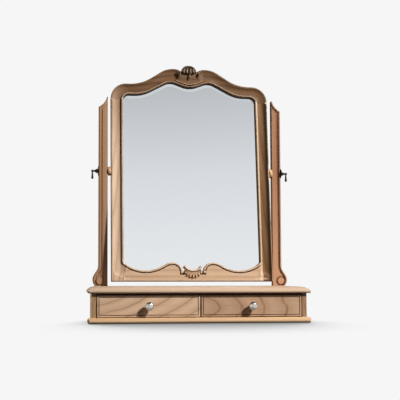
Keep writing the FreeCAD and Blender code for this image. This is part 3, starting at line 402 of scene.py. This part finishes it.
def carved(name, skins, material):
    """One object from closed skins: quads between neighbouring rows and columns, wrapped round each skin,
    with the points at each end merged."""
    places = [in_frame(skin).reshape(-1, 3) for skin in skins]
    quads = []
    first = 0
    for skin in skins:
        rows, columns = skin.shape[:2]
        index = first + np.arange(rows * columns).reshape(rows, columns)
        beside = np.roll(index, -1, axis=1)
        quads.append(np.stack((index[:-1], beside[:-1], beside[1:], index[1:]), axis=-1).reshape(-1, 4))
        first += rows * columns
    mesh = bpy.data.meshes.new(name)
    mesh.from_pydata(np.concatenate(places), [], np.concatenate(quads))
    work = bmesh.new()
    work.from_mesh(mesh)
    bmesh.ops.remove_doubles(work, verts=work.verts, dist=merge_distance)
    bmesh.ops.recalc_face_normals(work, faces=work.faces)
    work.to_mesh(mesh)
    work.free()
    mesh.shade_smooth()
    mesh.materials.append(material)
    made = placed(name, mesh)
    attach(made, "mirror")
    return made


def swell(share):
    """Width along a rib: a straight taper from a third to the whole, with round ends."""
    root_width, root_length, tail_start = 0.35, 0.06, 0.74
    tail = np.clip((share - tail_start) / (1 - tail_start), 0, 1)
    taper = root_width + (1 - root_width) * share
    return taper * np.sqrt(1 - tail ** 2) * np.sqrt(np.clip(share / root_length, 0, 1))


def petal(root, degrees, start, length, half_width, bulge, thick):
    """Rib of a fan: it leaves the root at an angle, swells, and arches forward by half a sine wave that is
    drawn a little toward the root. Its skin is the tube round that line."""
    rootward = 0.8
    share = np.linspace(0, 1, skin_rows)
    angle = math.radians(degrees)
    reach = start + (length - start) * share
    path = np.stack((root[0] + reach * math.sin(angle), face - bulge * np.sin(math.pi * share ** rootward),
                     root[1] + reach * math.cos(angle)), axis=-1)
    return tube(path, half_width * swell(share), thick * swell(share))


def meridian(foot, apex, half_width, lift, thick):
    """Rib of a canopy: a quarter ellipse from the apex down to its foot, as the meridian of a dome looks from
    the front. It comes forward by the lift on its way down, and swells."""
    share = np.linspace(0, 1, skin_rows)
    angle = 0.5 * math.pi * share
    path = np.stack((foot[0] * np.sin(angle), face - lift * np.sin(angle),
                     foot[1] + (apex - foot[1]) * np.cos(angle)), axis=-1)
    return tube(path, half_width * swell(share), thick * swell(share))


def upright(low, high, half_width, forward, thick, widest):
    """Drop or dome on the centre line: an oval tube from low to high, widest at that share of its height."""
    share = np.linspace(0, 1, skin_rows)
    bend = np.where(share < widest, (widest - share) / widest, (share - widest) / (1 - widest))
    size = np.sqrt(np.clip(1 - bend ** 2, 0, 1))
    path = np.stack((0 * share, face - forward + 0 * share, low + (high - low) * share), axis=-1)
    return tube(path, half_width * size, thick * size)


def spiral(centre, sign, start_radius, end_radius, turns, start_degrees, thick, forward):
    """Lip: a tapering tube on a spiral whose radius shrinks evenly with the angle turned."""
    taper, end_length, over_ratio = 0.3, 0.08, 1.2
    share = np.linspace(0, 1, skin_rows * 2)
    angle = math.radians(start_degrees) + 2 * math.pi * turns * share
    radius = start_radius + (end_radius - start_radius) * share
    path = np.stack((centre[0] + sign * radius * np.cos(angle), face - forward + 0 * share,
                     centre[1] + radius * np.sin(angle)), axis=-1)
    size = thick * (1 - taper * share) * np.sqrt(np.clip(np.minimum(share, 1 - share) / end_length, 0, 1))
    return tube(path, size, size * over_ratio)


fibres_of_carving = (300, 300, 60)
stretch_of_carving = (1.0, 1.0, 0.2)
# Parts of the crest that stand furthest out are paler: partly a rubbed finish, partly a painted highlight.
rubbed_and_lit_crest = (outward, at_pivot + 0.0195, at_pivot + 0.0218, (142, 124, 97))
carving_wood = timber("dark_carving_wood", heart=(0.0, 0.3, 0.7), stretch=stretch_of_carving, soak=1.0,
                      fibres=fibres_of_carving, glaze=(14, 8, 4), changes=[rubbed_and_lit_crest],
                      pale=(84, 64, 44), mid=(64, 47, 32), line=(40, 28, 18))
crest_root = 0.341
canopy_top = crest_root + 0.0298
groove_foot = crest_root + 0.003
knot_low = crest_root - 0.0055
canopy_aside = np.array((0.0025, 0.0, 0.0))
canopy = [upright(low=crest_root - 0.001, high=canopy_top + 0.0008, half_width=0.0245, forward=0.0,
                  thick=0.0065, widest=0.18)]
for foot_x, foot_rise, lift in ((0.0066, -0.0005, 0.0066), (0.0175, 0.0005, 0.0062), (0.0236, 0.0035, 0.004)):
    for sign in (-1, 1):
        canopy.append(meridian(foot=(sign * foot_x, crest_root + foot_rise), apex=canopy_top,
                               half_width=0.0037, lift=lift, thick=0.0044))
for foot_x in (0.0005, 0.0124, 0.0212):
    for sign in (-1, 1):
        canopy.append(meridian(foot=(sign * foot_x, groove_foot), apex=canopy_top,
                               half_width=0.0021, lift=0.0054, thick=0.003))
crest_skins = [skin - canopy_aside for skin in canopy]
crest_skins.append(upright(low=knot_low, high=crest_root + 0.0015, half_width=0.0028, forward=0.006,
                           thick=0.0032, widest=0.5))
crest_skins.append(upright(low=crest_root - 0.0185, high=knot_low, half_width=0.0022, forward=0.0062,
                           thick=0.0038, widest=0.8))
lip_x = 0.0395
for sign in (-1, 1):
    crest_skins.append(spiral(centre=(sign * lip_x, 0.3405), sign=sign, start_radius=0.0090,
                              end_radius=0.0078, turns=0.44, start_degrees=88, thick=0.0025, forward=0.0068))
    crest_skins.append(spiral(centre=(sign * lip_x, 0.3425), sign=sign, start_radius=0.0048,
                              end_radius=0.0038, turns=0.4, start_degrees=100, thick=0.0017, forward=0.006))
palmette = carved("crest_palmette", crest_skins, carving_wood)
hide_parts("crest_shell")

# Parts of the shell that stand furthest out are paler: partly a rubbed finish, partly a painted highlight.
rubbed_and_lit_shell = (outward, at_pivot + 0.0172, at_pivot + 0.0195, (222, 194, 164))
shell_wood = timber("sill_shell_wood", heart=(0.0, 0.2, 0.0), stretch=stretch_of_carving, soak=1.0,
                    reach=0.005, fibres=fibres_of_carving, glaze=(24, 12, 6), changes=[rubbed_and_lit_shell],
                    pale=(184, 150, 118), mid=(168, 134, 102), line=(128, 94, 66))
cup_centre = (0.0, -0.2985)
cup_radius = 0.0365
rib_angles = (-31.5, -21, -10.5, 0, 10.5, 21, 31.5)
rib_lengths = (0.0528, 0.057, 0.0605, 0.0615, 0.0605, 0.057, 0.0528)
shell_skins = [petal(cup_centre, 180 - angle, start=cup_radius + 0.008, length=length, half_width=0.0047,
                     bulge=0.003, thick=0.0056) for angle, length in zip(rib_angles, rib_lengths)]
shell_skins += [petal(cup_centre, 180 - angle, start=cup_radius + 0.002, length=cup_radius + 0.0105,
                      half_width=0.0026, bulge=0.0032, thick=0.0045) for angle in np.linspace(-36, 36, 10)]


def cup_arc(radius, share, half_degrees, forward, lift):
    """Path along the underside of the cup: an arc about its centre, lifted by its own amount at each
    point."""
    angle = np.radians(half_degrees * share)
    return np.stack((cup_centre[0] + radius * np.sin(angle), face - forward + 0 * share,
                     cup_centre[1] - radius * np.cos(angle) + lift), axis=-1)


share_of_arc = np.linspace(-1, 1, skin_rows * 2)
rim_flick = 0.004 * np.abs(share_of_arc) ** 6
rim_ends = np.sqrt(np.clip((1 - np.abs(share_of_arc)) / 0.05, 0, 1))
rim_size = 0.0030 * rim_ends * (1 + 0.3 * share_of_arc ** 4)
rim_path = cup_arc(cup_radius, share_of_arc, half_degrees=51, forward=0.003, lift=rim_flick)
shell_skins.append(tube(rim_path, rim_size, rim_size * 1.3))
band_size = np.sqrt(np.clip(1 - share_of_arc ** 4, 0, 1))
band_path = cup_arc(cup_radius + 0.0095, share_of_arc, half_degrees=37, forward=-0.001, lift=0.0)
shell_skins.append(tube(band_path, 0.0088 * band_size, 0.0062 * band_size))
sill_carving = carved("sill_cup_shell", shell_skins, shell_wood)
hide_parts("sill_shell")

# Setting: a white sweep on the floor and in the far distance, with a painted shadow on the floor by the
# base, one soft key lamp at the upper right in front, and weak light from everywhere and from behind. What
# the mirror and the knobs show is a lit white card behind the camera, under a grey ceiling.

white_of_sweep = linear(246, 246, 246)
open_side = (0.0, 0.9, 0.44)
shadow_reach = 0.55
shadow_stops = [(0.2, linear(120, 120, 121)), (0.54, linear(182, 183, 183)), (0.73, linear(227, 227, 227)),
                (0.88, white_of_sweep)]
bounce_colour = (0.08, 0.08, 0.08, 1.0)
ground = bpy.data.materials.new("white_sweep")
ground.use_nodes = True
ground_tree = ground.node_tree
ground_tree.nodes.clear()
ray = part_of(ground_tree, "ShaderNodeLightPath").outputs
from_behind = part_of(ground_tree, "ShaderNodeCombineXYZ", zip("XYZ", open_side))
# Painted shadow: occlusion, open toward the back and up, darkens the white that the floor gives off.
painted_shadow_occlusion = part_of(ground_tree, "ShaderNodeAmbientOcclusion",
                   [("Distance", shadow_reach), ("Normal", from_behind.outputs[0])], samples=24)
shade = ramp(ground_tree, painted_shadow_occlusion.outputs["AO"], shadow_stops)
seen = part_of(ground_tree, "ShaderNodeEmission", [("Color", shade)])
looked_at = number(ground_tree, "MAXIMUM", ray["Is Camera Ray"], ray["Is Glossy Ray"])
in_sight = number(ground_tree, "MAXIMUM", looked_at, ray["Is Transmission Ray"])
bounce = part_of(ground_tree, "ShaderNodeBsdfDiffuse", [("Color", bounce_colour)])
either = part_of(ground_tree, "ShaderNodeMixShader", [(0, in_sight), (1, bounce.outputs[0]),
                                                      (2, seen.outputs[0])])
part_of(ground_tree, "ShaderNodeOutputMaterial", [("Surface", either.outputs[0])])

floor_half = 30.0
floor_level = -0.0002
corners = np.array([(-1, -1), (1, -1), (1, 1), (-1, 1)]) * floor_half
floor_mesh = bpy.data.meshes.new("floor")
floor_mesh.from_pydata(np.column_stack((corners, np.full(4, floor_level))), [], [(0, 1, 2, 3)])
floor_mesh.materials.append(ground)
floor = placed("floor", floor_mesh)

card_stops = [(0.0, linear(238, 239, 241)), (0.19, linear(235, 236, 238)), (0.32, linear(221, 223, 228)),
              (0.447, linear(190, 193, 196)), (0.51, linear(194, 197, 200)), (0.57, linear(216, 219, 221)),
              (0.64, linear(206, 208, 210)), (0.76, linear(104, 105, 107))]
fill_colour = (1.0, 0.99, 0.97, 1.0)
fill_strength = 0.11
world = bpy.data.worlds.new("studio")
bpy.context.scene.world = world
world.use_nodes = True
sky = world.node_tree
sky.nodes.clear()
sky_ray = part_of(sky, "ShaderNodeLightPath").outputs
direction = part_of(sky, "ShaderNodeTexCoord").outputs["Generated"]
heading = part_of(sky, "ShaderNodeSeparateXYZ", [(0, direction)])
card = ramp(sky, heading.outputs["Z"], card_stops)
fill = part_of(sky, "ShaderNodeBackground", [("Color", fill_colour), ("Strength", fill_strength)])
mirror_sees = part_of(sky, "ShaderNodeBackground", [("Color", card), ("Strength", 1.0)])
camera_sees = part_of(sky, "ShaderNodeBackground", [("Color", white_of_sweep), ("Strength", 1.0)])
gloss = part_of(sky, "ShaderNodeMixShader", [(0, sky_ray["Is Glossy Ray"]), (1, fill.outputs[0]),
                                             (2, mirror_sees.outputs[0])])
direct = number(sky, "MAXIMUM", sky_ray["Is Camera Ray"], sky_ray["Is Transmission Ray"])
whole = part_of(sky, "ShaderNodeMixShader", [(0, direct), (1, gloss.outputs[0]), (2, camera_sees.outputs[0])])
part_of(sky, "ShaderNodeOutputWorld", [("Surface", whole.outputs[0])])


def lamp(name, place, target, size, power):
    """Square soft light that faces its target."""
    data = bpy.data.lights.new(name, "AREA")
    data.size = size
    data.energy = power
    made = placed(name, data)
    made.location = place
    aim = np.array(target) - np.array(place)
    flat = math.hypot(aim[0], aim[1])
    made.rotation_euler = (math.atan2(flat, -aim[2]), 0.0, math.atan2(-aim[0], aim[1]))
    return made


lamp("key", place=(2.0, -1.95, 2.35), target=(0.0, 0.0, 0.3), size=0.35, power=198.0)
for name, side_x in (("back_left", -2.6), ("back_right", 2.6)):
    rear = lamp(name, place=(side_x, 2.6, 0.55), target=(0.0, 0.1, 0.4), size=1.0, power=90.0)
    rear.visible_camera = False
    rear.visible_glossy = False

camera_data = bpy.data.cameras.new("camera")
camera_data.sensor_width = 36.0
camera_data.lens = 56.45
camera_data.shift_x = 0.16
camera_data.shift_y = 0.12
camera = placed("camera", camera_data)
camera.location = (-0.3894, -2.0027, 0.1435)
yaw = 0.0978
pitch = 0.0459
camera.rotation_euler = (math.pi / 2 + pitch, 0.0, -yaw)
bpy.context.scene.camera = camera
bpy.context.scene.view_settings.view_transform = "Standard"
